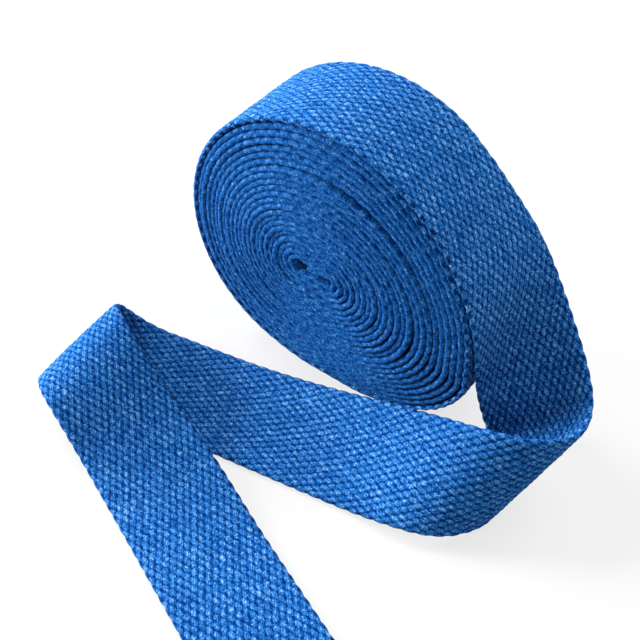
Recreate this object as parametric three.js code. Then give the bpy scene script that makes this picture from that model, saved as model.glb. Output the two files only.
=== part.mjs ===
// A roll of plain woven cotton webbing standing on its rim. Its loose end comes
// off the right side, goes down behind, turns back in an upright curve, is laid
// across the front, folded over on the left and run out flat towards the viewer.
// Millimetres, +Z up. The roll's axis runs along Y and its open face looks to -Y.
import * as THREE from 'three';

// ---- driving dimensions -------------------------------------------------
const WIDTH = 38;            // webbing width
const THICK = 2.4;           // webbing thickness
const GAP = 0.3;             // clearance between the roll and its loose end
const FLAT = 0.45;           // bulge at the foot, pressed flat where the roll stands
const FLAT_DEG = 30;         // half the angle it spreads over
const RIM = 1.1;             // rounding of the roll's two rims
const DOME = 4.3;            // how far the middle of the winding stands out in front
const LAP_DEG = 60;          // where the outermost turn becomes the loose end
const FACE_RINGS = [0.8, 0.6, 0.4, 0.2];   // steps of the dome, as shares of the radius
const ROLL_STEPS = 120;      // facets round the roll
const TAPE_STEPS = 132;      // facets along the loose end
const TAPE_COLS = 6;         // facets across it

// centre of the roll's front face
const ROLL = { x: -9.01, yFront: 40.15, z: 53.1 };
const HEART = { x: -1.9, z: 0.4 };   // middle of the winding, from that centre

// The winding is a little out of round. Its outline is a mean radius with small
// waves, counted from +X towards +Z.
const MEAN_RADIUS = 57.25;
const WAVES = [
  { perTurn: 2, cos: 0.0331, sin: -0.0203 },
  { perTurn: 3, cos: 0.0004, sin: -0.0322 },
  { perTurn: 4, cos: -0.0075, sin: -0.0061 },
];

// How far the winding lies under the measured outline, because the loose end
// covers it there: a thickness on the top right, none once the loose end has left.
const COVER = [
  { deg: -26, drop: 0 },
  { deg: -21, drop: 0.25 },
  { deg: -18, drop: 1.15 },
  { deg: -15, drop: 2 },
  { deg: -12, drop: 2.6 },
  { deg: -6, drop: 2.95 },
  { deg: 2, drop: 2.95 },
  { deg: 14, drop: 2.9 },
  { deg: 24, drop: 2.85 },
  { deg: 34, drop: 2.75 },
  { deg: 41, drop: 2.75 },
  { deg: 46, drop: 2.95 },
  { deg: 52, drop: 3.1 },
  { deg: LAP_DEG, drop: THICK + 2 * GAP },
];

// ---- the loose end ------------------------------------------------------
// One row for each section across the webbing. s is the length from the lap at
// the middle of the width, and skew is how much earlier or later (in mm of
// length) the section meets the front and back selvedges, so that sections lie
// along the folds. Then the front selvedge, the middle and the back selvedge.
const SECTIONS = [
  // s,    skew,   frontX, frontY, frontZ,    midX,   midY,  midZ,   backX,  backY, backZ
  [  0.0,   0.0,    18.3,   40.1, 100.4,    18.3,   59.1, 100.4,    18.3,   78.1, 100.4],
  [ 12.0,   0.0,    27.6,   40.1,  92.9,    27.6,   59.1,  92.9,    27.6,   78.1,  92.9],
  [ 26.0,   0.0,    36.6,   40.1,  82.2,    37.3,   59.3,  82.8,    37.7,   78.4,  83.1],
  [ 38.0,  -2.4,    43.5,   40.3,  69.5,    44.6,   59.4,  73.3,    44.4,   78.6,  76.1],
  [ 50.0,  -6.0,    48.2,   41.1,  54.6,    48.8,   59.9,  62.2,    49.8,   78.6,  69.5],
  [ 62.0,  -9.2,    49.7,   42.5,  39.5,    51.5,   60.6,  50.6,    55.1,   78.0,  62.3],
  [ 74.0, -10.1,    51.9,   43.7,  26.8,    56.1,   60.6,  39.5,    62.1,   75.7,  53.7],
  [ 84.0, -10.8,    55.3,   44.4,  16.6,    61.4,   59.3,  31.2,    68.2,   72.7,  47.2],
  [ 92.0, -11.4,    59.7,   43.6,   9.3,    66.5,   57.0,  25.5,    73.2,   69.7,  42.5],
  [100.0, -12.0,    65.4,   40.3,   3.6,    71.9,   53.0,  20.9,    78.1,   65.7,  38.5],
  [108.0, -12.0,    69.7,   34.0,   1.2,    76.5,   47.0,  18.1,    83.0,   59.9,  35.3],
  [116.0, -12.0,    71.4,   26.2,   1.2,    78.8,   39.4,  17.4,    85.8,   52.5,  34.2],
  [124.0, -12.0,    70.7,   18.4,   1.5,    78.2,   31.4,  18.1,    85.6,   44.6,  34.8],
  [132.0, -11.0,    67.8,   12.2,   2.6,    74.9,   24.3,  19.4,    81.2,   36.9,  36.3],
  [140.0,  -9.9,    63.7,    6.6,   3.7,    69.2,   18.8,  20.5,    74.0,   31.4,  37.2],
  [150.0,  -8.6,    56.4,    1.9,   4.4,    59.8,   14.9,  20.4,    63.1,   28.2,  36.1],
  [162.0,  -6.1,    47.1,   -0.5,   3.4,    48.2,   13.8,  17.3,    49.3,   27.9,  31.3],
  [176.0,  -2.4,    37.1,   -2.1,   1.7,    35.3,   14.0,  11.8,    33.1,   28.7,  23.9],
  [194.0,   0.0,    21.7,   -5.0,   1.2,    18.2,   12.8,   6.6,    14.2,   28.8,  16.0],
  [216.0,   0.0,     0.1,   -9.0,   1.2,    -3.3,    9.5,   3.6,    -6.9,   27.2,   9.7],
  [240.0,   0.0,   -23.5,  -13.2,   1.2,   -26.9,    5.4,   2.2,   -30.3,   23.6,   6.6],
  [262.0,   0.0,   -45.1,  -17.2,   1.2,   -48.6,    1.5,   1.8,   -52.0,   19.7,   6.0],
  [278.0,  -5.2,   -65.5,  -21.2,   1.2,   -64.0,   -1.5,   1.9,   -62.4,   17.8,   5.8],
  [287.0,  -8.6,   -77.1,  -23.6,   1.2,   -72.5,   -3.4,   2.8,   -67.7,   16.6,   6.2],
  [293.5,  -7.7,   -81.6,  -25.0,   1.9,   -77.9,   -5.1,   5.0,   -74.4,   14.8,   8.3],
  [300.0,  -6.1,   -83.9,  -26.9,   5.5,   -81.6,   -7.4,   9.5,   -79.5,   12.0,  13.5],
  [306.5,  -4.6,   -83.3,  -29.3,   9.6,   -81.5,  -10.5,  15.1,   -79.7,    8.1,  19.6],
  [313.0,  -3.0,   -80.7,  -31.7,  13.0,   -77.9,  -13.7,  19.3,   -74.9,    4.0,  23.3],
  [322.0,  -1.8,   -75.0,  -35.2,  16.2,   -70.3,  -17.4,  21.2,   -65.8,    0.0,  23.2],
  [335.0,   0.0,   -65.4,  -38.8,  15.2,   -59.0,  -21.2,  17.9,   -52.7,   -4.3,  17.6],
  [352.0,   0.0,   -51.7,  -42.5,   6.8,   -44.8,  -25.1,  10.3,   -38.0,   -8.5,  11.7],
  [378.0,   0.0,   -28.2,  -50.5,   1.2,   -21.4,  -32.8,   2.6,   -14.5,  -15.4,   5.6],
  [410.0,   0.0,     1.7,  -61.9,   1.2,     8.5,  -44.1,   1.2,    15.2,  -26.4,   1.2],
  [457.0,   0.0,    45.6,  -78.6,   1.2,    52.4,  -60.9,   1.2,    59.1,  -43.1,   1.2],
];

// ---- helpers ------------------------------------------------------------
const rad = (d) => (d * Math.PI) / 180;

function waveRadius(a) {
  let k = 1;
  for (const w of WAVES) k += w.cos * Math.cos(w.perTurn * a) + w.sin * Math.sin(w.perTurn * a);
  const foot = (((a * 180) / Math.PI + 268) % 360 - 180) / FLAT_DEG;
  const bulge = Math.abs(foot) < 1 ? FLAT * Math.cos((foot * Math.PI) / 2) ** 2 : 0;
  return MEAN_RADIUS * k + bulge;
}

function coverDrop(deg) {
  if (deg <= COVER[0].deg || deg > LAP_DEG + 0.45) return 0;
  for (let i = 1; i < COVER.length; i++) {
    const p = COVER[i - 1], q = COVER[i];
    if (deg <= q.deg || i === COVER.length - 1) return p.drop + ((q.drop - p.drop) * (deg - p.deg)) / (q.deg - p.deg);
  }
  return 0;
}

// natural cubic spline through (t[i], y[i])
function spline(t, y) {
  const n = t.length, m = new Array(n).fill(0), u = new Array(n).fill(0);
  for (let i = 1; i < n - 1; i++) {
    const h0 = t[i] - t[i - 1], h1 = t[i + 1] - t[i];
    const sig = h0 / (h0 + h1), p = sig * m[i - 1] + 2;
    m[i] = (sig - 1) / p;
    u[i] = (6 * ((y[i + 1] - y[i]) / h1 - (y[i] - y[i - 1]) / h0) / (h0 + h1) - sig * u[i - 1]) / p;
  }
  for (let i = n - 2; i >= 0; i--) m[i] = m[i] * m[i + 1] + u[i];
  return (x) => {
    let k = 0;
    while (k < n - 2 && x > t[k + 1]) k++;
    const h = t[k + 1] - t[k], a = (t[k + 1] - x) / h, b = (x - t[k]) / h;
    return a * y[k] + b * y[k + 1] + (((a * a * a - a) * m[k] + (b * b * b - b) * m[k + 1]) * h * h) / 6;
  };
}

function meshOf(name, points, faces, colour) {
  const g = new THREE.BufferGeometry();
  g.setAttribute('position', new THREE.Float32BufferAttribute(points.flatMap((p) => [p.x, p.y, p.z]), 3));
  g.setIndex(faces.flat());
  g.computeVertexNormals();
  const m = new THREE.Mesh(g, new THREE.MeshStandardMaterial({ color: colour, roughness: 0.92, metalness: 0 }));
  m.name = name;
  return m;
}

// ---- the wound roll: an outline with rounded rims, flat where it stands ----
function woundRoll() {
  const angles = [];
  for (let i = 0; i < ROLL_STEPS; i++) {
    const d = LAP_DEG + (360 * i) / ROLL_STEPS;      // starts just past the lap
    angles.push(i === 0 ? LAP_DEG + 0.5 : d);
  }
  angles.push(360 + LAP_DEG + 0.4);                   // the foot of the lap's step
  const place = (deg, inset, y) => {
    const d = deg > 180 ? deg - 360 : deg;
    const r = waveRadius(rad(d)) - coverDrop(d) - inset;
    return new THREE.Vector3(ROLL.x + r * Math.cos(rad(d)), y, Math.max(0, ROLL.z + r * Math.sin(rad(d))));
  };
  // rings from the front face to the back face, with the two rounded rims
  const c = RIM * (1 - Math.SQRT1_2);
  const rings = [
    { inset: RIM, y: 0 }, { inset: c, y: c }, { inset: 0, y: RIM },
    { inset: 0, y: WIDTH - RIM }, { inset: c, y: WIDTH - c }, { inset: RIM, y: WIDTH },
  ];
  const points = [], faces = [], n = angles.length;
  for (const ring of rings) for (const a of angles) points.push(place(a, ring.inset, ROLL.yFront + ring.y));
  const last = (rings.length - 1) * n;
  const band = (a0, b0) => {
    for (let i = 0; i < n; i++) {
      const j = (i + 1) % n;
      faces.push([a0 + i, b0 + i, a0 + j], [a0 + j, b0 + i, b0 + j]);
    }
  };
  for (let k = 0; k < rings.length - 1; k++) band(k * n, (k + 1) * n);
  // the two faces: the middle of the winding has slid forwards, so the front one
  // is domed and the back one is dished by as much
  for (const [edge, y, way] of [[0, ROLL.yFront, 1], [last, ROLL.yFront + WIDTH, -1]]) {
    let outer = edge;
    const heart = new THREE.Vector3(ROLL.x + HEART.x, y - DOME, ROLL.z + HEART.z);
    for (const f of FACE_RINGS) {
      const inner = points.length;
      for (let i = 0; i < n; i++) {
        const p = points[edge + i].clone().lerp(heart, 1 - f);
        p.y = y - DOME * (1 - f * f);
        points.push(p);
      }
      if (way > 0) band(inner, outer); else band(outer, inner);
      outer = inner;
    }
    const tip = points.push(heart) - 1;
    for (let i = 0; i < n; i++) {
      const j = (i + 1) % n;
      faces.push(way > 0 ? [tip, outer + i, outer + j] : [tip, outer + j, outer + i]);
    }
  }
  return meshOf('wound_roll', points, faces, 0x2a63b4);
}

// ---- the loose end: one strip of even thickness along the sections --------
function looseEnd() {
  const s = SECTIONS.map((r) => r[0]);
  const at = SECTIONS[0].slice(1).map((_, k) => spline(s, SECTIONS.map((r) => r[k + 1])));
  const first = s[0] + 0.25, end = s[s.length - 1];
  const centre = (p, t) => {                          // t from -1, front, to +1, back
    const q = at.map((f) => f(p));
    return new THREE.Vector3(...[0, 1, 2].map((k) => {
      const f = q[1 + k], m = q[4 + k], b = q[7 + k];
      return m + ((b - f) / 2) * t + ((f + b - 2 * m) / 2) * t * t;
    }));
  };
  const lie = (v) => { v.z = Math.max(v.z, THICK / 2); return v; };
  const normal = (p, t) => {
    const e = 0.5, a = Math.max(first, p - e), b = Math.min(end, p + e);
    const ds = centre(b, t).sub(centre(a, t));
    const dt = centre(p, Math.min(1, t + 0.02)).sub(centre(p, Math.max(-1, t - 0.02)));
    return ds.cross(dt).normalize();
  };
  // closer steps where the tape bends
  const bends = [{ from: 66, to: 168 }, { from: 280, to: 332 }];
  const pace = (p) => (bends.some((b) => p > b.from && p < b.to) ? 1.9 : 0.9);
  let total = 0; const fine = 4000, run = [0];
  for (let i = 1; i <= fine; i++) { total += pace(first + ((end - first) * (i - 0.5)) / fine); run.push(total); }
  const stations = [];
  for (let k = 0, i = 0; k <= TAPE_STEPS; k++) {
    while (i < fine && run[i] < (total * k) / TAPE_STEPS) i++;
    stations.push(first + ((end - first) * i) / fine);
  }
  const points = [], faces = [], cols = TAPE_COLS + 1;
  for (const side of [1, -1]) {
    for (const p of stations) {
      for (let j = 0; j < cols; j++) {
        const t = -1 + (2 * j) / TAPE_COLS;
        const v = lie(centre(p, t)).addScaledVector(normal(p, t), (side * THICK) / 2);
        v.z = Math.max(v.z, 0);
        points.push(v);
      }
    }
  }
  const n = stations.length, under = n * cols;
  const id = (i, j) => i * cols + j;
  for (let i = 0; i < n - 1; i++) {
    for (let j = 0; j < TAPE_COLS; j++) {
      const a = id(i, j), b = id(i + 1, j), c = id(i + 1, j + 1), d = id(i, j + 1);
      faces.push([a, b, c], [a, c, d], [under + a, under + c, under + b], [under + a, under + d, under + c]);
    }
    for (const [j, flip] of [[0, 1], [TAPE_COLS, 0]]) {
      const a = id(i, j), b = id(i + 1, j);
      const q = flip ? [[a, under + a, b], [b, under + a, under + b]] : [[a, b, under + a], [b, under + b, under + a]];
      faces.push(...q);
    }
  }
  for (const [i, flip] of [[0, 0], [n - 1, 1]]) {
    for (let j = 0; j < TAPE_COLS; j++) {
      const a = id(i, j), d = id(i, j + 1);
      const q = flip ? [[a, under + a, d], [d, under + a, under + d]] : [[a, d, under + a], [d, under + d, under + a]];
      faces.push(...q);
    }
  }
  return meshOf('loose_end', points, faces, 0x2f6cc0);
}

const part = new THREE.Group();
part.add(woundRoll(), looseEnd());
export default part;
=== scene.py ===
"""A roll of blue cotton webbing standing on its rim, its loose end folded across the front.

The CAD nodes are the roll's outside form and the thin loose end. Here they are
replaced by the webbing itself: the outermost turn and the loose end with their
plain weave, and the turns under them as one spiral. Lengths are worked out in
millimetres and made into metres when a mesh is built.
"""
import math

import bpy
import numpy as np
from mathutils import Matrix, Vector


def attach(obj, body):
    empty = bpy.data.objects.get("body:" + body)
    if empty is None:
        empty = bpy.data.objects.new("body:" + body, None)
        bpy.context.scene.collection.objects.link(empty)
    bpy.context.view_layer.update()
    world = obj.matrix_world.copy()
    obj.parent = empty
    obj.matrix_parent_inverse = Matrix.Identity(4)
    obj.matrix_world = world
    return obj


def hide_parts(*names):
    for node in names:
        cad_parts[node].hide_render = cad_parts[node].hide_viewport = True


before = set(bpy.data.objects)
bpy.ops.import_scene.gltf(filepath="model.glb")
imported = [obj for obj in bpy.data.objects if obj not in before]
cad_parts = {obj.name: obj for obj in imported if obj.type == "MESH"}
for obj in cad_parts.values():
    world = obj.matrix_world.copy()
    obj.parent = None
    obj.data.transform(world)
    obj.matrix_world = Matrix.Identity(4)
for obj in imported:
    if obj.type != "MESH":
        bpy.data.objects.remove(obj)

MM = 0.001
WIDTH, THICK = 38.0, 2.4
ROLL_X, ROLL_Y, ROLL_Z = -9.01, 40.15, 53.1   # centre of the roll's front face
PICK = 2.44          # rows of bumps along the webbing
REED = 2.5           # bumps across it, in one row
BUMP = 0.42          # height of a bump
LONG, BROAD = 1.78, 1.06   # half its length and half its width
STEP = PICK / 4      # mesh rows
TURN = 2.34          # pitch of the wound turns
TURN_T = 2.1         # thickness of a wound turn, a little pressed
DOME = 4.3           # how far the middle of the winding stands out at the front
LAP = 60.0           # degrees, where the outermost turn becomes the loose end

# how far the turn under the loose end lies below the outline, by angle
COVER = np.array([
    [-26.0, 0.0], [-21.0, 0.2], [-18.0, 1.0], [-15.0, 1.85], [-12.0, 2.45], [-6.0, 2.8], [2.0, 2.8],
    [14.0, 2.75], [24.0, 2.7], [34.0, 2.6], [41.0, 2.6], [46.0, 2.75], [52.0, 2.85], [60.0, 2.8],
])

# The loose end, one row for each section: length from the lap, skew, then the
# front selvedge, the middle and the back selvedge.
SECTIONS = np.array([
  [  0.0,   0.0,    18.3,   40.1, 100.4,    18.3,   59.1, 100.4,    18.3,   78.1, 100.4],
  [ 12.0,   0.0,    27.6,   40.1,  92.9,    27.6,   59.1,  92.9,    27.6,   78.1,  92.9],
  [ 26.0,   0.0,    36.6,   40.1,  82.2,    37.3,   59.3,  82.8,    37.7,   78.4,  83.1],
  [ 38.0,  -2.4,    43.5,   40.3,  69.5,    44.6,   59.4,  73.3,    44.4,   78.6,  76.1],
  [ 50.0,  -6.0,    48.2,   41.1,  54.6,    48.8,   59.9,  62.2,    49.8,   78.6,  69.5],
  [ 62.0,  -9.2,    49.7,   42.5,  39.5,    51.5,   60.6,  50.6,    55.1,   78.0,  62.3],
  [ 74.0, -10.1,    51.9,   43.7,  26.8,    56.1,   60.6,  39.5,    62.1,   75.7,  53.7],
  [ 84.0, -10.8,    55.3,   44.4,  16.6,    61.4,   59.3,  31.2,    68.2,   72.7,  47.2],
  [ 92.0, -11.4,    59.7,   43.6,   9.3,    66.5,   57.0,  25.5,    73.2,   69.7,  42.5],
  [100.0, -12.0,    65.4,   40.3,   3.6,    71.9,   53.0,  20.9,    78.1,   65.7,  38.5],
  [108.0, -12.0,    69.7,   34.0,   1.2,    76.5,   47.0,  18.1,    83.0,   59.9,  35.3],
  [116.0, -12.0,    71.4,   26.2,   1.2,    78.8,   39.4,  17.4,    85.8,   52.5,  34.2],
  [124.0, -12.0,    70.7,   18.4,   1.5,    78.2,   31.4,  18.1,    85.6,   44.6,  34.8],
  [132.0, -11.0,    67.8,   12.2,   2.6,    74.9,   24.3,  19.4,    81.2,   36.9,  36.3],
  [140.0,  -9.9,    63.7,    6.6,   3.7,    69.2,   18.8,  20.5,    74.0,   31.4,  37.2],
  [150.0,  -8.6,    56.4,    1.9,   4.4,    59.8,   14.9,  20.4,    63.1,   28.2,  36.1],
  [162.0,  -6.1,    47.1,   -0.5,   3.4,    48.2,   13.8,  17.3,    49.3,   27.9,  31.3],
  [176.0,  -2.4,    37.1,   -2.1,   1.7,    35.3,   14.0,  11.8,    33.1,   28.7,  23.9],
  [194.0,   0.0,    21.7,   -5.0,   1.2,    18.2,   12.8,   6.6,    14.2,   28.8,  16.0],
  [216.0,   0.0,     0.1,   -9.0,   1.2,    -3.3,    9.5,   3.6,    -6.9,   27.2,   9.7],
  [240.0,   0.0,   -23.5,  -13.2,   1.2,   -26.9,    5.4,   2.2,   -30.3,   23.6,   6.6],
  [262.0,   0.0,   -45.1,  -17.2,   1.2,   -48.6,    1.5,   1.8,   -52.0,   19.7,   6.0],
  [278.0,  -5.2,   -65.5,  -21.2,   1.2,   -64.0,   -1.5,   1.9,   -62.4,   17.8,   5.8],
  [287.0,  -8.6,   -77.1,  -23.6,   1.2,   -72.5,   -3.4,   2.8,   -67.7,   16.6,   6.2],
  [293.5,  -7.7,   -81.6,  -25.0,   1.9,   -77.9,   -5.1,   5.0,   -74.4,   14.8,   8.3],
  [300.0,  -6.1,   -83.9,  -26.9,   5.5,   -81.6,   -7.4,   9.5,   -79.5,   12.0,  13.5],
  [306.5,  -4.6,   -83.3,  -29.3,   9.6,   -81.5,  -10.5,  15.1,   -79.7,    8.1,  19.6],
  [313.0,  -3.0,   -80.7,  -31.7,  13.0,   -77.9,  -13.7,  19.3,   -74.9,    4.0,  23.3],
  [322.0,  -1.8,   -75.0,  -35.2,  16.2,   -70.3,  -17.4,  21.2,   -65.8,    0.0,  23.2],
  [335.0,   0.0,   -65.4,  -38.8,  15.2,   -59.0,  -21.2,  17.9,   -52.7,   -4.3,  17.6],
  [352.0,   0.0,   -51.7,  -42.5,   6.8,   -44.8,  -25.1,  10.3,   -38.0,   -8.5,  11.7],
  [378.0,   0.0,   -28.2,  -50.5,   1.2,   -21.4,  -32.8,   2.6,   -14.5,  -15.4,   5.6],
  [410.0,   0.0,     1.7,  -61.9,   1.2,     8.5,  -44.1,   1.2,    15.2,  -26.4,   1.2],
  [457.0,   0.0,    45.6,  -78.6,   1.2,    52.4,  -60.9,   1.2,    59.1,  -43.1,   1.2],
])

# small gaps between turns: turn number, middle angle, half the angle, width
GAPS = [
    (1.6, 185.0, 60.0, 0.40), (3.0, 175.0, 60.0, 0.40), (4.4, 120.0, 50.0, 0.30), (7.0, 62.0, 75.0, 1.05),
    (9.6, -12.0, 48.0, 0.75), (11.4, 205.0, 50.0, 0.35), (12.8, -25.0, 48.0, 0.60),
    (14.0, 112.0, 50.0, 0.70), (15.3, -5.0, 50.0, 0.60), (17.8, 185.0, 50.0, 0.50), (19.3, 60.0, 60.0, 0.4),
]

rng = np.random.default_rng(11)


# ---- numbers ---------------------------------------------------------------
def natural_spline(t, y):
    """Second derivatives of the natural cubic spline through the columns of y."""
    n = len(t)
    a = np.zeros((n, n))
    b = np.zeros((n, y.shape[1]))
    a[0, 0] = a[-1, -1] = 1
    for i in range(1, n - 1):
        h0, h1 = t[i] - t[i - 1], t[i + 1] - t[i]
        a[i, i - 1], a[i, i], a[i, i + 1] = h0, 2 * (h0 + h1), h1
        b[i] = 6 * ((y[i + 1] - y[i]) / h1 - (y[i] - y[i - 1]) / h0)
    return np.linalg.solve(a, b)


TS, TY = SECTIONS[:, 0], SECTIONS[:, 1:]
TM = natural_spline(TS, TY)


def section(p):
    k = np.clip(np.searchsorted(TS, p, side="right") - 1, 0, len(TS) - 2)
    h = TS[k + 1] - TS[k]
    a, b = ((TS[k + 1] - p) / h)[..., None], ((p - TS[k]) / h)[..., None]
    hh = (h * h / 6)[..., None]
    return a * TY[k] + b * TY[k + 1] + ((a**3 - a) * TM[k] + (b**3 - b) * TM[k + 1]) * hh


def tape(u, v):
    """Middle of the loose end's thickness, u mm along the webbing and v from -1, the front selvedge, to 1."""
    p = u.copy()
    for _ in range(25):
        p = u - v * section(p)[..., 0]
    q = section(p)
    f, m, b = q[..., 1:4], q[..., 4:7], q[..., 7:10]
    v = v[..., None]
    out = m + (b - f) / 2 * v + (f + b - 2 * m) / 2 * v * v
    out[..., 2] = np.maximum(out[..., 2], THICK / 2)
    return out


def cross_normal(grid):
    """Unit normals of a grid of points (along, across, 3): along x across."""
    n = np.cross(np.gradient(grid, axis=0), np.gradient(grid, axis=1))
    return n / np.linalg.norm(n, axis=-1, keepdims=True)


def waves(deg):
    a = np.radians(deg)
    k = (
        1 + 0.0331 * np.cos(2 * a) - 0.0203 * np.sin(2 * a) + 0.0004 * np.cos(3 * a)
        - 0.0322 * np.sin(3 * a) - 0.0075 * np.cos(4 * a) - 0.0061 * np.sin(4 * a)
    )
    foot = (np.mod(deg + 88 + 180, 360) - 180) / 30
    return 57.25 * k + np.where(np.abs(foot) < 1, 0.45 * np.cos(foot * np.pi / 2) ** 2, 0)


def outline(deg):
    """Radius of the outermost turn's middle line, pressed flat where it stands."""
    off_lap = np.clip(np.abs(np.mod(deg - LAP + 180, 360) - 180) / 25, 0, 1)
    r = waves(deg) + 0.15 * off_lap - THICK / 2
    down = -np.sin(np.radians(deg))
    return np.where(down > 0.3, np.minimum(r, (ROLL_Z - THICK / 2) / np.maximum(down, 0.3)), r)


CORE, CORE_TILT, ROUND = 6.0, -4.0, 12.5     # the flat fold in the middle
INNER = 1.4                                   # half the width of its innermost loop
HEART = np.array([-1.9, 0.4])                 # its place, from the roll's centre
PINCH, SHIFT = 0.80, 0.58                     # its two sides meet between its ends


def stadium(deg, d):
    a = np.radians(deg - CORE_TILT)
    x = np.clip(np.abs(np.cos(a)) / np.maximum(np.abs(np.sin(a)), 1e-6) * d / CORE, 0, 1)
    d_end = d
    d = d - PINCH * (1 - x**4) ** 2 * np.clip((ROUND - d) / (ROUND - INNER), 0, 1)
    c, s = np.abs(np.cos(a)), np.maximum(np.abs(np.sin(a)), 1e-6)
    flat = d / s
    end = CORE * c + np.sqrt(np.maximum(d_end * d_end - (CORE * s) ** 2, 0))
    return np.where(flat * c <= CORE, flat, end)


MEAN = float(np.mean(outline(np.arange(0.0, 360.0))))


def spread(deg):
    return (outline(deg) - stadium(deg, ROUND)) / (MEAN - ROUND)


def smooth(x):
    x = np.clip(x, 0, 1)
    return x * x * (3 - 2 * x)


def turn_depth(tau):
    """How far the webbing lies inside the outermost turn, tau turns in from the lap."""
    n = np.floor(tau)
    f = tau - n
    deg = LAP + 360 * f
    below = np.where(deg > 334, deg - 360, -90)
    share = np.interp(below, COVER[:, 0], COVER[:, 1]) / 2.5
    first = 2.5 * share / spread(deg)
    b = smooth((tau - 1) / 7)
    lap = 2.5 / spread(np.array([LAP]))[0]
    later = lap + TURN * (n - 1) + TURN * ((1 - b) * share + b * f)
    depth = np.where(n < 1, first, later)
    room = np.clip((MEAN - depth - 8) / 22, 0, 1)
    for turn, middle, half, wide in GAPS:
        at = turn if turn % 1 == 0 else math.floor(turn)
        at = at + ((middle - LAP) % 360) / 360
        since = tau - at
        m = np.maximum(np.round(since), 0)
        x = (since - m) * 360 / half
        depth = depth + np.where(np.abs(x) < 1, wide * np.cos(x * np.pi / 2) ** 2 * 0.9**m, 0) * room
    return depth


def spiral_point(tau):
    deg = LAP + 360 * tau
    d = MEAN - turn_depth(tau)
    q = (d - ROUND) / (MEAN - ROUND)
    inner = stadium(deg, np.clip(d, 0.4, ROUND))
    r = np.where(q > 0, stadium(deg, ROUND) * (1 - q) + outline(deg) * q, inner)
    a = np.radians(deg)
    tilt = math.radians(CORE_TILT)
    near = np.clip((ROUND - d) / (ROUND - INNER), 0, 1)[..., None]
    off = HEART * (1 - np.clip(d / MEAN, 0, 1))[..., None] + SHIFT * near * np.array([-math.sin(tilt), math.cos(tilt)])
    return np.stack([r * np.cos(a), r * np.sin(a)], -1) + off, d


def wobble(x, scale, seed, count=7):
    g = np.random.default_rng(seed)
    out = np.zeros_like(x)
    for i in range(count):
        out += np.sin(x * g.uniform(0.4, 1.6) / scale + g.uniform(0, 2 * np.pi)) / count**0.5
    return out


def bumps(uu, ww):
    """Height of the weave, 0 to 1, at uu (two rows a unit) and ww (one bump a unit)."""
    best = np.full(np.broadcast(uu, ww).shape, 9.0)
    for o in (0.0, 0.5):
        du = (uu + o - np.round(uu + o)) * 2 * PICK
        dw = (ww + o - np.round(ww + o)) * REED
        best = np.minimum(best, (du / LONG) ** 2 + (dw / BROAD) ** 2)
    return np.maximum(1 - best, 0) ** 0.62


def each_bump(uu, ww):
    """A random number, -1 to 1, for each bump."""
    def score(o):
        du = (uu + o - np.round(uu + o)) * 2 * PICK
        dw = (ww + o - np.round(ww + o)) * REED
        return (du / LONG) ** 2 + (dw / BROAD) ** 2
    second = score(0.5) < score(0.0)
    o = np.where(second, 0.5, 0.0)
    a, b = np.round(uu + o), np.round(ww + o)
    h = np.sin(a * 127.1 + b * 311.7 + second * 74.7) * 43758.5453
    return 2 * (h - np.floor(h)) - 1


# ---- meshes ----------------------------------------------------------------
def ring_mesh(name, rings, uvs, closed_uv):
    """A tube of rings (stations, ring, 3) with flat ends. uvs is the same shape with 2; closed_uv is the last-to-first step's."""
    n, m = rings.shape[:2]
    verts = (rings.reshape(-1, 3) * MM).astype(np.float32)
    i, j = np.meshgrid(np.arange(n - 1), np.arange(m), indexing="ij")
    jn = (j + 1) % m
    a, b, c, d = i * m + j, i * m + jn, (i + 1) * m + jn, (i + 1) * m + j
    quads = np.stack([a, d, c, b], -1).reshape(-1, 4)
    uv = uvs.copy()
    wrap = np.concatenate([uv, closed_uv[:, None]], axis=1)
    qa, qb = wrap[:-1, :-1], wrap[:-1, 1:]
    qd, qc = wrap[1:, :-1], wrap[1:, 1:]
    quad_uv = np.stack([qa, qd, qc, qb], 2).reshape(-1, 4, 2)
    mesh = bpy.data.meshes.new(name)
    me_v = len(verts)
    ends = [tuple(range(m)), tuple(reversed(range((n - 1) * m, n * m)))]
    mesh.vertices.add(me_v)
    mesh.vertices.foreach_set("co", verts.ravel())
    loops = np.concatenate([quads.ravel(), np.array(ends).ravel()])
    starts = np.concatenate([np.arange(len(quads)) * 4, len(quads) * 4 + np.array([0, m])])
    mesh.loops.add(len(loops))
    mesh.loops.foreach_set("vertex_index", loops.astype(np.int32))
    mesh.polygons.add(len(starts))
    mesh.polygons.foreach_set("loop_start", starts.astype(np.int32))
    smooth_faces = np.ones(len(starts), bool)
    smooth_faces[-2:] = False                      # the two cut ends
    mesh.polygons.foreach_set("use_smooth", smooth_faces)
    mesh.update(calc_edges=True)
    layer = mesh.uv_layers.new(name="weave")
    end_uv = np.concatenate([uv[0], uv[-1][::-1]])
    all_uv = np.concatenate([quad_uv.reshape(-1, 2), end_uv])
    layer.data.foreach_set("uv", all_uv.astype(np.float32).ravel())
    mesh.validate()
    ob = bpy.data.objects.new(name, mesh)
    bpy.context.scene.collection.objects.link(ob)
    return ob


def weave_uv(u, w, seed):
    """uv of side A at u along and w across, a little uneven."""
    uu = u / (2 * PICK) + 0.022 * wobble(w + 0 * u, 6.0, seed) + 0.016 * wobble(u, 5.0, seed + 1)
    ww = w / REED + 0.022 * wobble(u + 0 * w, 11.0, seed + 2) * (1 - (w / 19) ** 2)
    return uu, ww


def edge_taper(w):
    x = np.clip((np.abs(w) - 17.6) / 1.55, 0, 1)
    return np.sqrt(np.maximum(1 - 0.62 * x * x, 0))


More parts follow.
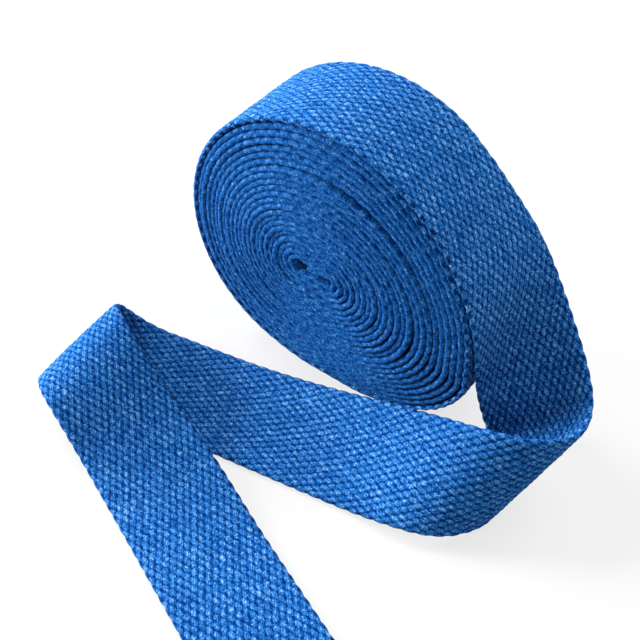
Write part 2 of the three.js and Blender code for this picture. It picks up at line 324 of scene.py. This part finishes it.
def build_webbing(name, u, middle, normal, across, b_every):
    """u (n,), middle (n, cols, 3) over COLS, normal the same, across the unit direction to the back selvedge at both edges (n, 2, 3)."""
    w = COLS[None, :]
    uu, ww = weave_uv(u[:, None], w, 3)
    half = THICK / 2 * edge_taper(w)
    ha = bumps(uu, ww) * (0.86 + 0.22 * each_bump(uu, ww))
    top = middle + normal * (half - BUMP * (1 - ha))[..., None]
    bw = COLS[::b_every][::-1]
    wb = 8.0 + (18.75 - bw[None, :]) / REED
    ub, _ = weave_uv(u[:, None], bw[None, :], 3)
    wb = wb - (ww[:, ::b_every][:, ::-1] - bw[None, :] / REED)
    hb = bumps(ub, wb) * (0.86 + 0.22 * each_bump(ub, wb))
    half_b = THICK / 2 * edge_taper(bw[None, :])
    low = middle[:, ::b_every][:, ::-1] - normal[:, ::b_every][:, ::-1] * (half_b - BUMP * (1 - hb))[..., None]
    back_u = uu[:, -1:]
    grow_b = 0.22 * (1.6 * np.abs(np.cos(np.pi * u / (2 * PICK))) - 1)[:, None]
    back = middle[:, -1:] + across[:, 1:2] * (0.56 + grow_b)[..., None]
    front = middle[:, :1] - across[:, 0:1] * (0.56 + grow_b)[..., None]
    rings = np.concatenate([top, back, low, front], axis=1)
    n = len(u)
    uv_u = np.concatenate([uu, back_u, ub, uu[:, :1]], axis=1)
    uv_w = np.concatenate([ww, np.full((n, 1), 7.75), wb, np.full((n, 1), 23.25)], axis=1)
    uvs = np.stack([uv_u, uv_w], -1)
    closed = np.stack([uu[:, 0], np.full(n, 23.5)], -1)
    rings[..., 2] = np.maximum(rings[..., 2], 0.02)
    return ring_mesh(name, rings, uvs, closed)


COLS = np.linspace(-18.75, 18.75, 61)

# ---- the loose end -----------------------------------------------------------
END = float(TS[-1])
u1 = np.arange(0, END + 0.01, STEP)
gu, gv = np.meshgrid(u1, COLS / 19.0, indexing="ij")
mid = tape(gu, gv)
nrm = cross_normal(mid)
acr = np.stack([mid[:, 1] - mid[:, 0], mid[:, -1] - mid[:, -2]], 1)
acr /= np.linalg.norm(acr, axis=-1, keepdims=True)
loose = build_webbing("loose_webbing", u1, mid, nrm, acr, 1)

# ---- the spiral ----------------------------------------------------------------
fine = np.arange(0, 24.6, 1 / 1440)
path, dist = spiral_point(fine)
stop = int(np.argmax(dist < INNER)) if (dist < INNER).any() else len(fine) - 1
path, dist, fine = path[:stop], dist[:stop], fine[:stop]
# the spiral's last point and the length along it
last = path[-1]
tilt = math.radians(CORE_TILT)
along = np.array([math.cos(tilt), math.sin(tilt)])
length = np.concatenate([[0], np.cumsum(np.linalg.norm(np.diff(path, axis=0), axis=1))])
print("turns", round(float(fine[-1]), 2), "wound length mm", round(float(length[-1]), 0))


def along_spiral(s):
    p = np.stack([np.interp(s, length, path[:, k]) for k in range(2)], -1)
    return p, np.interp(s, length, fine), np.interp(s, length, dist)


def frame_of(p, s):
    t = np.gradient(p, s, axis=0)
    t /= np.linalg.norm(t, axis=1, keepdims=True)
    return t, np.stack([t[:, 1], -t[:, 0]], -1)   # outward, since the path runs anticlockwise


def dome(tau, d):
    inside = smooth((tau - 0.95) / 0.8)
    out = -DOME * (1 - (d / MEAN) ** 2)
    out = out - 0.35 * smooth((tau - 6.8) / 0.4) + 0.35 * smooth((tau - 13.5) / 2)
    return (out + 0.15 * wobble(tau * 9, 6.0, 21) + 0.26 * wobble(tau, 0.16, 33)) * inside


one = float(np.interp(1.0, fine, length))
s2 = np.arange(0, one + 1.0, STEP)
p2, tau2, d2 = along_spiral(s2)
t2, o2 = frame_of(p2, s2)
y2 = ROLL_Y + WIDTH / 2 + COLS
mid2 = np.zeros((len(s2), 61, 3))
mid2[..., 0] = (ROLL_X + p2[:, 0])[:, None]
mid2[..., 1] = y2[None, :] + dome(tau2, d2)[:, None]
mid2[..., 2] = (ROLL_Z + p2[:, 1])[:, None]
nr2 = np.zeros_like(mid2)
nr2[..., 0], nr2[..., 2] = o2[:, :1], o2[:, 1:]
ac2 = np.zeros((len(s2), 2, 3))
ac2[..., 1] = 1
outer = build_webbing("outer_turn", -s2[::-1], mid2[::-1], nr2[::-1], ac2[::-1], 30)

# turns under the outermost one
s3 = np.arange(one - 1.5, length[-1], STEP)
p3, tau3, d3 = along_spiral(s3)
t3, o3 = frame_of(p3, s3)
h = TURN_T / 2
# ring: across the front edge from the outer face to the inner one, then back along the inner face
prof_n = np.array([1.0, 0.93, 0.62, 0.2, -0.2, -0.62, -0.93, -1.0, -1.0, -0.7, 0.0, 0.7, 1.0]) * h
prof_y = np.array([1.3, 0.55, 0.16, 0.02, 0.02, 0.16, 0.55, 1.3, 36.7, 37.7, 38.0, 37.7, 36.7])
prof_w = np.concatenate([-7.5 - (1 - prof_n[:8] / h) / 2 * 0.5, -8.0 - np.array([14.2, 14.6, 14.85, 15.1, 15.5])])
u3 = -s3
uu3 = u3[:, None] / (2 * PICK) + 0.012 * wobble(u3, 7.0, 4)[:, None]
hh3 = bumps(uu3, prof_w[None, :])
out_y = np.where(np.arange(13) < 8, -1.0, 1.0)
facing = np.array([0.3, 0.75, 1, 1, 1, 1, 0.75, 0.3, 0.3, 0.9, 1, 0.9, 0.3])
amp = 0.21 * (1 + 0.45 * each_bump(uu3 + 0 * prof_w, prof_w[None, :] + 0 * uu3)) * hh3 * facing
y3 = prof_y[None, :] + out_y[None, :] * (amp - 0.08)
pressed = np.cos(np.radians(LAP + 360 * tau3 - 165))       # closer together at the upper left
grow = 1 + 0.05 * wobble(s3, 14.0, 8)[:, None] + 0.05 * pressed[:, None]
n3 = prof_n[None, :] * grow
rings3 = np.zeros((len(s3), 13, 3))
rings3[..., 0] = ROLL_X + p3[:, :1] + o3[:, :1] * n3
rings3[..., 1] = ROLL_Y + y3 + dome(tau3, d3)[:, None]
rings3[..., 2] = np.maximum(ROLL_Z + p3[:, 1:] + o3[:, 1:] * n3, 0.02)
uv3 = np.stack([uu3 + 0 * prof_w, prof_w[None, :] + 0 * uu3], -1)
closed3 = np.stack([uu3[:, 0], np.full(len(s3), -23.5)], -1)
turns = ring_mesh("wound_turns", rings3[:, ::-1], uv3[:, ::-1], closed3)

print("seam offset mm", np.abs(nrm[0] * 0 + mid[0] - mid2[0]).max().round(3))
for ob in (loose, outer, turns):
    print(ob.name, sum(len(p.vertices) - 2 for p in ob.data.polygons), "triangles")


# ---- material ----------------------------------------------------------------
def webbing_material(name, weave, grain, rows):
    """weave, grain and rows: how strongly the bumps (with the painted shade in their valleys and the painted highlight
    on their tops), the loose fibres and each bump's own shade show.
    """
    mat = bpy.data.materials.new(name)
    mat.use_nodes = True
    nt = mat.node_tree
    nt.nodes.clear()
    add = nt.nodes.new
    link = nt.links.new

    def math_node(op, a, b=None, c=None):
        n = add("ShaderNodeMath")
        n.operation = op
        for i, x in enumerate((a, b, c)):
            if x is None:
                continue
            if isinstance(x, (int, float)):
                n.inputs[i].default_value = x
            else:
                link(x, n.inputs[i])
        return n.outputs[0]

    uv = add("ShaderNodeUVMap")
    uv.uv_map = "weave"
    sep = add("ShaderNodeSeparateXYZ")
    link(uv.outputs[0], sep.inputs[0])
    U, W = sep.outputs[0], sep.outputs[1]

    # the lattice of bumps, worked out finer than the mesh
    def lattice(o):
        u, w = math_node("ADD", U, o), math_node("ADD", W, o)
        ru, rw = math_node("ROUND", u), math_node("ROUND", w)
        du = math_node("MULTIPLY", math_node("SUBTRACT", u, ru), 2 * PICK)
        dw = math_node("MULTIPLY", math_node("SUBTRACT", w, rw), REED)
        e = math_node("ADD", math_node("POWER", math_node("ABSOLUTE", math_node("DIVIDE", du, LONG)), 2.0),
                      math_node("POWER", math_node("ABSOLUTE", math_node("DIVIDE", dw, BROAD)), 2.0))
        return e, ru, rw, du, dw

    e0, a0, b0, du0, dw0 = lattice(0.0)
    e1, a1, b1, du1, dw1 = lattice(0.5)
    second = math_node("LESS_THAN", e1, e0)
    e = math_node("MINIMUM", e0, e1)

    def pick(x, y):
        n = add("ShaderNodeMix")
        n.data_type = "FLOAT"
        link(second, n.inputs[0])
        link(x, n.inputs[2])
        link(y, n.inputs[3])
        return n.outputs[0]

    du, dw = pick(du0, du1), pick(dw0, dw1)
    cell = add("ShaderNodeCombineXYZ")
    link(pick(a0, a1), cell.inputs[0])
    link(pick(b0, b1), cell.inputs[1])
    link(second, cell.inputs[2])
    rand = add("ShaderNodeTexWhiteNoise")
    rand.noise_dimensions = "3D"
    link(cell.outputs[0], rand.inputs["Vector"])

    height = math_node("SQRT", math_node("MAXIMUM", math_node("SUBTRACT", 1.0, e), 0.0))

    # twisted plies of the yarn: fine slanting ridges over each bump
    geo = add("ShaderNodeNewGeometry")

    def noise(scale, detail, rough):
        n = add("ShaderNodeTexNoise")
        n.inputs["Scale"].default_value = scale
        n.inputs["Detail"].default_value = detail
        n.inputs["Roughness"].default_value = rough
        link(geo.outputs["Position"], n.inputs["Vector"])
        return math_node("SUBTRACT", n.outputs[0], 0.5)

    fine, small, patch = noise(1500.0, 3.0, 0.7), noise(620.0, 2.0, 0.6), noise(60.0, 3.0, 0.5)
    slant = math_node("ADD", math_node("MULTIPLY", du, 0.8), math_node("MULTIPLY", dw, 1.6))
    slant = math_node("ADD", slant, math_node("MULTIPLY", small, 3.0))
    plies = math_node("SINE", math_node("MULTIPLY", slant, 4.6))

    # colour: painted shade in the valleys between the bumps and a painted highlight on each bump's top
    f = math_node("MULTIPLY_ADD", height, 0.52 * weave, 0.16 + 0.30 * (1 - weave))
    f = math_node("ADD", f, math_node("MULTIPLY", fine, 1.8 * grain))
    f = math_node("ADD", f, math_node("MULTIPLY", small, 0.65 * grain))
    f = math_node("ADD", f, math_node("MULTIPLY", math_node("SUBTRACT", rand.outputs[0], 0.5), 0.10 * rows))
    f = math_node("ADD", f, math_node("MULTIPLY", patch, 0.07))
    f = math_node("ADD", f, math_node("MULTIPLY", plies, 0.085 * weave))
    ramp = add("ShaderNodeValToRGB")
    r = ramp.color_ramp
    stops = [(0.0, (0.0001, 0.010, 0.070)), (0.30, (0.0006, 0.036, 0.180)), (0.52, (0.0060, 0.086, 0.300)),
             (0.72, (0.026, 0.145, 0.400)), (1.0, (0.200, 0.370, 0.590))]
    r.elements[0].position, r.elements[0].color = stops[0][0], (*stops[0][1], 1)
    r.elements[1].position, r.elements[1].color = stops[-1][0], (*stops[-1][1], 1)
    for at, colour in stops[1:-1]:
        r.elements.new(at).color = (*colour, 1)
    link(f, ramp.inputs[0])

    bump_h = math_node("ADD", math_node("MULTIPLY", height, 0.30 * weave), math_node("MULTIPLY", fine, 0.55 * grain))
    bump_h = math_node("ADD", bump_h, math_node("MULTIPLY", small, 0.55 * grain))
    bump_h = math_node("ADD", bump_h, math_node("MULTIPLY", plies, 0.045 * weave))
    bump = add("ShaderNodeBump")
    bump.inputs["Strength"].default_value = 0.75
    bump.inputs["Distance"].default_value = 0.001
    link(bump_h, bump.inputs["Height"])

    bsdf = add("ShaderNodeBsdfPrincipled")
    bsdf.inputs["Roughness"].default_value = 0.82
    bsdf.inputs["IOR"].default_value = 1.38
    bsdf.inputs["Specular IOR Level"].default_value = 0.05
    bsdf.inputs["Sheen Weight"].default_value = 0.012
    bsdf.inputs["Sheen Roughness"].default_value = 0.45
    bsdf.inputs["Sheen Tint"].default_value = (0.45, 0.68, 1.0, 1)
    link(ramp.outputs[0], bsdf.inputs["Base Color"])
    link(bump.outputs[0], bsdf.inputs["Normal"])
    out = add("ShaderNodeOutputMaterial")
    link(bsdf.outputs[0], out.inputs[0])
    return mat


blue = webbing_material("blue_webbing", 1.0, 1.0, 1.0)
blue_edge = webbing_material("blue_webbing_edge", 0.5, 0.95, 0.8)
for ob, mat in ((loose, blue), (outer, blue), (turns, blue_edge)):
    ob.data.materials.append(mat)
    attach(ob, "root")
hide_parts("loose_end")
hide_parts("wound_roll")
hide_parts("wound_roll")


# ---- floor, light and camera ---------------------------------------------------
def plain(name, colour, rough, glow):
    mat = bpy.data.materials.new(name)
    mat.use_nodes = True
    b = mat.node_tree.nodes["Principled BSDF"]
    b.inputs["Base Color"].default_value = (*colour, 1)
    b.inputs["Roughness"].default_value = rough
    b.inputs["Specular IOR Level"].default_value = 0.1
    b.inputs["Emission Color"].default_value = (1, 1, 1, 1)
    b.inputs["Emission Strength"].default_value = glow
    return mat


mesh = bpy.data.meshes.new("floor")
mesh.from_pydata([(-3, -3, 0), (3, -3, 0), (3, 3, 0), (-3, 3, 0)], [], [(0, 1, 2, 3)])
floor = bpy.data.objects.new("floor", mesh)
bpy.context.scene.collection.objects.link(floor)
floor.data.materials.append(plain("white_table", (0.12, 0.12, 0.12), 0.9, 0.735))

world = bpy.data.worlds.new("soft_white")
bpy.context.scene.world = world
world.use_nodes = True
bg = world.node_tree.nodes["Background"]
bg.inputs[0].default_value = (0.93, 0.96, 1.0, 1)
bg.inputs[1].default_value = 0.11
view = bpy.context.scene.view_settings
view.view_transform, view.look = "Standard", "None"


def area(name, place, target, size, power, colour=(1, 1, 1)):
    light = bpy.data.lights.new(name, "AREA")
    light.shape = "DISK"
    light.size = size
    light.energy = power
    light.color = colour
    ob = bpy.data.objects.new(name, light)
    ob.location = place
    ob.rotation_mode = "QUATERNION"
    ob.rotation_quaternion = (Vector(target) - Vector(place)).to_track_quat("-Z", "Y")
    bpy.context.scene.collection.objects.link(ob)
    return ob


area("key", (-0.72, 0.16, 0.85), (0, 0, 0.04), 0.34, 12.2)
area("back", (0.20, 0.60, 0.80), (0, 0, 0.04), 0.6, 11.0)
area("left", (-0.90, -0.30, 0.30), (0, 0, 0.04), 0.4, 22.5)
area("low_left", (-0.95, 0.15, 0.30), (0, 0, 0.04), 0.5, 7.5)
area("right", (0.70, -0.50, 0.70), (0, 0, 0.04), 0.6, 3.2)
area("front", (-0.30, -0.95, 0.30), (0, 0, 0.04), 0.5, 2.4)

cam = bpy.data.cameras.new("camera")
cam.lens, cam.sensor_width, cam.clip_start = 56.25, 36.0, 0.01
camera = bpy.data.objects.new("camera", cam)
place, target = Vector((0.133627, -0.151463, 0.285320)), Vector((-0.0268, 0.0612, 0.0))
camera.location = place
camera.rotation_mode = "QUATERNION"
camera.rotation_quaternion = (target - place).to_track_quat("-Z", "Y")
bpy.context.scene.collection.objects.link(camera)
bpy.context.scene.camera = camera
